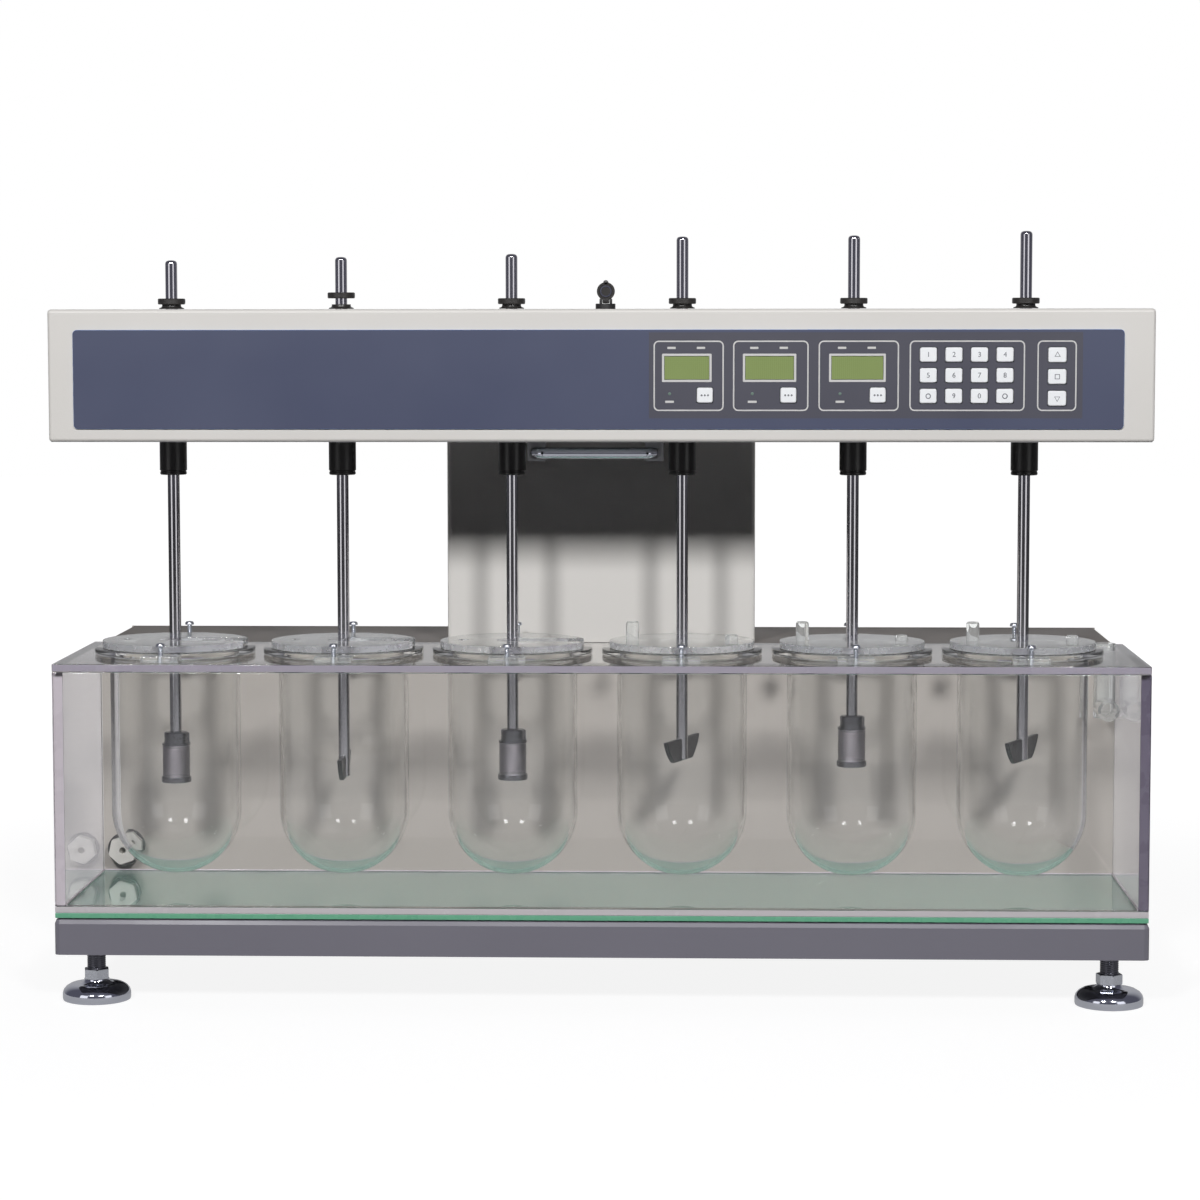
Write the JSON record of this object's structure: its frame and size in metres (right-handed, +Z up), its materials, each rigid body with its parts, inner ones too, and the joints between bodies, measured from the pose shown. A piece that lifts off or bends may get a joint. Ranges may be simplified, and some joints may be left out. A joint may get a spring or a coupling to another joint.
{
  "type": "dissolution tester",
  "caption": "Bench dissolution tester: a clear water bath with a row of lidded glass vessels under a lifting stirring head with baskets, paddles and a keypad.",
  "frame": {"origin": "on the bench, below the middle of the base tray", "axes": "+X to the right as seen from the operator's side, -Y towards the operator, +Z up"},
  "size_m": [0.906, 0.3516, 0.6435],
  "materials": {
    "painted_grey": "satin",
    "painted_warm_grey": "satin",
    "painted_white": "satin",
    "mast_white": "satin",
    "clear_plastic": "gloss",
    "vessel_glass": "gloss",
    "green_glass": "gloss",
    "steel": "bright",
    "chrome": "mirror",
    "black_plastic": "matt",
    "motor_black": "matt",
    "white_plastic": "satin",
    "slate_plastic": "satin",
    "display_green": "gloss",
    "belt_rubber": "matt"
  },
  "bodies": {
    "frame": {"levelling_foot_1": "chrome", "levelling_foot_2": "chrome", "levelling_foot_3": "chrome", "levelling_foot_4": "chrome", "base_frame": "painted_grey", "tank_floor": "green_glass", "tank_walls": "clear_plastic", "tank_top_plate": "clear_plastic", "vessel_1": "vessel_glass", "vessel_2": "vessel_glass", "vessel_3": "vessel_glass", "vessel_4": "vessel_glass", "vessel_5": "vessel_glass", "vessel_6": "vessel_glass", "drain_fitting": "white_plastic", "inlet_elbow": "clear_plastic", "rear_housing": "painted_warm_grey", "rear_cover": "painted_warm_grey", "circulator": "steel", "column": "painted_white"},
    "head": {"head_housing": "painted_white", "head_base_plate": "mast_white", "lift_mast": "mast_white", "lift_handle": "chrome", "drive_motor": "motor_black", "drive_belt": "belt_rubber", "control_panel": "slate_plastic", "display_board": "display_green"},
    "shaft_1": {"shaft_1": "steel"},
    "shaft_2": {"shaft_2": "steel"},
    "shaft_3": {"shaft_3": "steel"},
    "shaft_4": {"shaft_4": "steel"},
    "shaft_5": {"shaft_5": "steel"},
    "shaft_6": {"shaft_6": "steel"},
    "motor_pulley": {"motor_pulley": "steel"},
    "lid_1": {"lid_1": "clear_plastic"},
    "lid_2": {"lid_2": "clear_plastic"},
    "lid_3": {"lid_3": "clear_plastic"},
    "lid_4": {"lid_4": "clear_plastic"},
    "lid_5": {"lid_5": "clear_plastic"},
    "lid_6": {"lid_6": "clear_plastic"},
    "key_function_1": {"key_function_1": "white_plastic"},
    "key_function_2": {"key_function_2": "white_plastic"},
    "key_function_3": {"key_function_3": "white_plastic"},
    "key_0": {"key_0": "white_plastic"},
    "key_1": {"key_1": "white_plastic"},
    "key_2": {"key_2": "white_plastic"},
    "key_3": {"key_3": "white_plastic"},
    "key_4": {"key_4": "white_plastic"},
    "key_5": {"key_5": "white_plastic"},
    "key_6": {"key_6": "white_plastic"},
    "key_7": {"key_7": "white_plastic"},
    "key_8": {"key_8": "white_plastic"},
    "key_9": {"key_9": "white_plastic"},
    "key_start": {"key_start": "white_plastic"},
    "key_set": {"key_set": "white_plastic"},
    "key_up": {"key_up": "white_plastic"},
    "key_stop": {"key_stop": "white_plastic"},
    "key_down": {"key_down": "white_plastic"},
    "probe_cap": {"probe_cap": "black_plastic"}
  },
  "joints": [
    {"name": "head_lift", "type": "slide", "parent": "frame", "child": "head", "axis": [0, 0, 1], "range_m": [-0.05, 0.055]},
    {"name": "shaft_1_spin", "type": "hinge", "parent": "head", "child": "shaft_1", "pos_m": [-0.3645, -0.07825, 0.47], "axis": [0, 0, 1], "continuous": true},
    {"name": "shaft_2_spin", "type": "hinge", "parent": "head", "child": "shaft_2", "pos_m": [-0.2205, -0.07825, 0.47], "axis": [0, 0, 1], "continuous": true},
    {"name": "shaft_3_spin", "type": "hinge", "parent": "head", "child": "shaft_3", "pos_m": [-0.0765, -0.07825, 0.47], "axis": [0, 0, 1], "continuous": true},
    {"name": "shaft_4_spin", "type": "hinge", "parent": "head", "child": "shaft_4", "pos_m": [0.0675, -0.07825, 0.47], "axis": [0, 0, 1], "continuous": true},
    {"name": "shaft_5_spin", "type": "hinge", "parent": "head", "child": "shaft_5", "pos_m": [0.2115, -0.07825, 0.47], "axis": [0, 0, 1], "continuous": true},
    {"name": "shaft_6_spin", "type": "hinge", "parent": "head", "child": "shaft_6", "pos_m": [0.3555, -0.07825, 0.47], "axis": [0, 0, 1], "continuous": true},
    {"name": "motor_spin", "type": "hinge", "parent": "head", "child": "motor_pulley", "pos_m": [-0.0045, -0.07825, 0.553], "axis": [0, 0, 1], "continuous": true},
    {"name": "lid_1_lift", "type": "slide", "parent": "frame", "child": "lid_1", "axis": [0, 0, 1], "range_m": [0, 0.085]},
    {"name": "lid_2_lift", "type": "slide", "parent": "frame", "child": "lid_2", "axis": [0, 0, 1], "range_m": [0, 0.085]},
    {"name": "lid_3_lift", "type": "slide", "parent": "frame", "child": "lid_3", "axis": [0, 0, 1], "range_m": [0, 0.085]},
    {"name": "lid_4_lift", "type": "slide", "parent": "frame", "child": "lid_4", "axis": [0, 0, 1], "range_m": [0, 0.085]},
    {"name": "lid_5_lift", "type": "slide", "parent": "frame", "child": "lid_5", "axis": [0, 0, 1], "range_m": [0, 0.085]},
    {"name": "lid_6_lift", "type": "slide", "parent": "frame", "child": "lid_6", "axis": [0, 0, 1], "range_m": [0, 0.085]},
    {"name": "key_function_1_press", "type": "slide", "parent": "head", "child": "key_function_1", "axis": [0, 1, 0], "range_m": [0, 0.0008], "stiffness_N_per_m": 1200},
    {"name": "key_function_2_press", "type": "slide", "parent": "head", "child": "key_function_2", "axis": [0, 1, 0], "range_m": [0, 0.0008], "stiffness_N_per_m": 1200},
    {"name": "key_function_3_press", "type": "slide", "parent": "head", "child": "key_function_3", "axis": [0, 1, 0], "range_m": [0, 0.0008], "stiffness_N_per_m": 1200},
    {"name": "key_0_press", "type": "slide", "parent": "head", "child": "key_0", "axis": [0, 1, 0], "range_m": [0, 0.0008], "stiffness_N_per_m": 1200},
    {"name": "key_1_press", "type": "slide", "parent": "head", "child": "key_1", "axis": [0, 1, 0], "range_m": [0, 0.0008], "stiffness_N_per_m": 1200},
    {"name": "key_2_press", "type": "slide", "parent": "head", "child": "key_2", "axis": [0, 1, 0], "range_m": [0, 0.0008], "stiffness_N_per_m": 1200},
    {"name": "key_3_press", "type": "slide", "parent": "head", "child": "key_3", "axis": [0, 1, 0], "range_m": [0, 0.0008], "stiffness_N_per_m": 1200},
    {"name": "key_4_press", "type": "slide", "parent": "head", "child": "key_4", "axis": [0, 1, 0], "range_m": [0, 0.0008], "stiffness_N_per_m": 1200},
    {"name": "key_5_press", "type": "slide", "parent": "head", "child": "key_5", "axis": [0, 1, 0], "range_m": [0, 0.0008], "stiffness_N_per_m": 1200},
    {"name": "key_6_press", "type": "slide", "parent": "head", "child": "key_6", "axis": [0, 1, 0], "range_m": [0, 0.0008], "stiffness_N_per_m": 1200},
    {"name": "key_7_press", "type": "slide", "parent": "head", "child": "key_7", "axis": [0, 1, 0], "range_m": [0, 0.0008], "stiffness_N_per_m": 1200},
    {"name": "key_8_press", "type": "slide", "parent": "head", "child": "key_8", "axis": [0, 1, 0], "range_m": [0, 0.0008], "stiffness_N_per_m": 1200},
    {"name": "key_9_press", "type": "slide", "parent": "head", "child": "key_9", "axis": [0, 1, 0], "range_m": [0, 0.0008], "stiffness_N_per_m": 1200},
    {"name": "key_start_press", "type": "slide", "parent": "head", "child": "key_start", "axis": [0, 1, 0], "range_m": [0, 0.0008], "stiffness_N_per_m": 1200},
    {"name": "key_set_press", "type": "slide", "parent": "head", "child": "key_set", "axis": [0, 1, 0], "range_m": [0, 0.0008], "stiffness_N_per_m": 1200},
    {"name": "key_up_press", "type": "slide", "parent": "head", "child": "key_up", "axis": [0, 1, 0], "range_m": [0, 0.0008], "stiffness_N_per_m": 1200},
    {"name": "key_stop_press", "type": "slide", "parent": "head", "child": "key_stop", "axis": [0, 1, 0], "range_m": [0, 0.0008], "stiffness_N_per_m": 1200},
    {"name": "key_down_press", "type": "slide", "parent": "head", "child": "key_down", "axis": [0, 1, 0], "range_m": [0, 0.0008], "stiffness_N_per_m": 1200},
    {"name": "probe_cap_hinge", "type": "hinge", "parent": "head", "child": "probe_cap", "pos_m": [0.004, -0.10925, 0.5845], "axis": [1, 0, 0], "range_deg": [0, 90]}
  ],
  "couplings": [
    {"joint": "shaft_2_spin", "follows": "shaft_1_spin", "ratio": 1},
    {"joint": "shaft_3_spin", "follows": "shaft_1_spin", "ratio": 1},
    {"joint": "shaft_4_spin", "follows": "shaft_1_spin", "ratio": 1},
    {"joint": "shaft_5_spin", "follows": "shaft_1_spin", "ratio": 1},
    {"joint": "shaft_6_spin", "follows": "shaft_1_spin", "ratio": 1},
    {"joint": "motor_spin", "follows": "shaft_1_spin", "ratio": 1}
  ]
}
